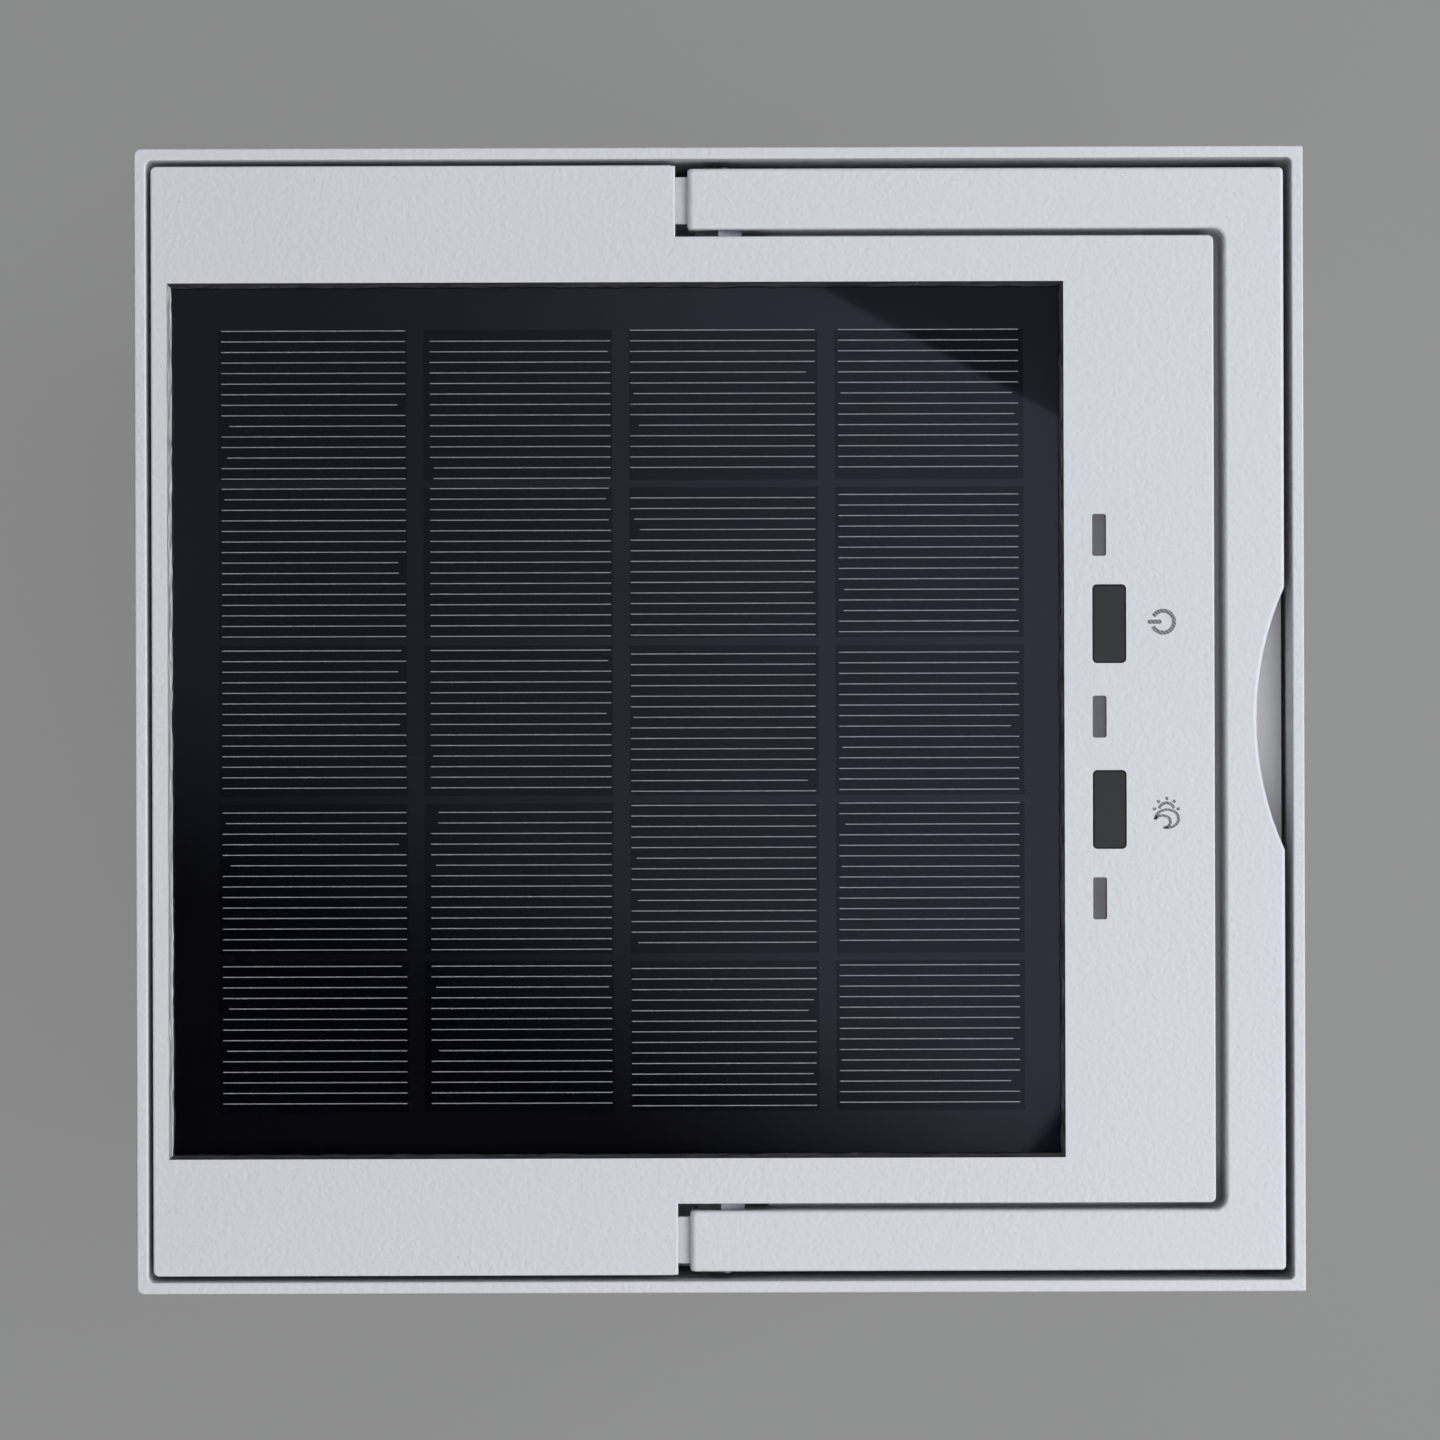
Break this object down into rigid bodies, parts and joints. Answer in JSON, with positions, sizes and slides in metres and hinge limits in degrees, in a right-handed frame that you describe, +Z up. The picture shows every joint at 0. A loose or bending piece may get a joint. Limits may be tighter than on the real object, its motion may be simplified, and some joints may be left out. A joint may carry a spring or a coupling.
{
  "type": "solar lantern",
  "caption": "Square portable lantern with opal panes, a solar module in its top and a flush handle that folds up out of the rim to carry it.",
  "frame": {"origin": "middle of the lantern's footprint at floor level, under the rubber feet", "axes": "+Z up; +X from the handle's hinges towards its grip bar; +Y towards the rear hinge"},
  "size_m": [0.2, 0.196, 0.3],
  "materials": {
    "white_coat": "satin powder coat",
    "base_coat": "satin powder coat",
    "plain_aluminium": "mill",
    "cast_tray": "sandblasted",
    "foot_rubber": "matt",
    "seal_rubber": "matt",
    "screw_steel": "zinc plated",
    "bolt_chrome": "polished",
    "opal_pane": "opal satin",
    "lamp_opal": "opal satin",
    "panel_glass": "clear tempered",
    "cell_silicon": "dark textured",
    "black_encapsulant": "smooth",
    "backsheet_film": "smooth",
    "foam_tape": "foam",
    "key_rubber": "fine matt",
    "black_plastic": "moulded",
    "window_smoke": "smoked satin",
    "board_green": "solder mask",
    "board_white": "white solder mask",
    "emitter_yellow": "phosphor",
    "cell_wrap": "shrink wrap",
    "strap_fabric": "hook and loop",
    "component_dark": "moulded",
    "washer_nylon": "natural",
    "red_lead": "insulation"
  },
  "bodies": {
    "lantern": {"outer_shell": "white_coat", "corner_posts": "plain_aluminium", "base_plate": "base_coat", "base_screws": "screw_steel", "rubber_feet": "foot_rubber", "pane_right": "opal_pane", "pane_left": "opal_pane", "pane_rear": "opal_pane", "pane_front": "opal_pane", "seat_frame": "plain_aluminium", "seat_screws": "screw_steel", "module_tray": "cast_tray", "module_gasket": "seal_rubber", "module_cover": "white_coat", "cover_screws": "screw_steel", "module_fixing_screws": "screw_steel", "solar_glass": "panel_glass", "solar_cells": "cell_silicon", "cell_encapsulant": "black_encapsulant", "panel_backsheet": "backsheet_film", "panel_tape": "foam_tape", "switch_bodies": "black_plastic", "light_guides": "window_smoke", "indicator_leds": "emitter_yellow", "control_board": "board_green", "control_board_screws": "screw_steel", "battery_cells": "cell_wrap", "battery_cradle": "black_plastic", "battery_strap": "strap_fabric", "driver_board": "board_green", "driver_board_screws": "screw_steel", "driver_components": "component_dark", "lamp_board": "board_white", "lamp_leds": "emitter_yellow", "lamp_board_screws": "screw_steel", "lamp_cover": "lamp_opal", "lamp_cover_screws": "screw_steel", "hinge_bracket_rear": "plain_aluminium", "hinge_bracket_front": "plain_aluminium", "bracket_screws": "screw_steel", "hinge_washers": "washer_nylon", "panel_leads": "red_lead", "battery_leads": "red_lead", "key_leads": "red_lead", "lamp_leads": "red_lead"},
    "handle": {"handle": "white_coat", "pivot_bolt_rear": "bolt_chrome", "pivot_bolt_front": "bolt_chrome"},
    "power_key": {"power_key": "key_rubber", "power_plunger": "black_plastic"},
    "mode_key": {"mode_key": "key_rubber", "mode_plunger": "black_plastic"}
  },
  "joints": [
    {"name": "handle_fold", "type": "hinge", "parent": "lantern", "child": "handle", "pos_m": [0, 0, 0.293], "axis": [0, -1, 0], "range_deg": [0, 95]},
    {"name": "power_press", "type": "slide", "parent": "lantern", "child": "power_key", "axis": [0, 0, -1], "range_m": [0, 0.0006], "stiffness_N_per_m": 300},
    {"name": "mode_press", "type": "slide", "parent": "lantern", "child": "mode_key", "axis": [0, 0, -1], "range_m": [0, 0.0006], "stiffness_N_per_m": 300}
  ]
}
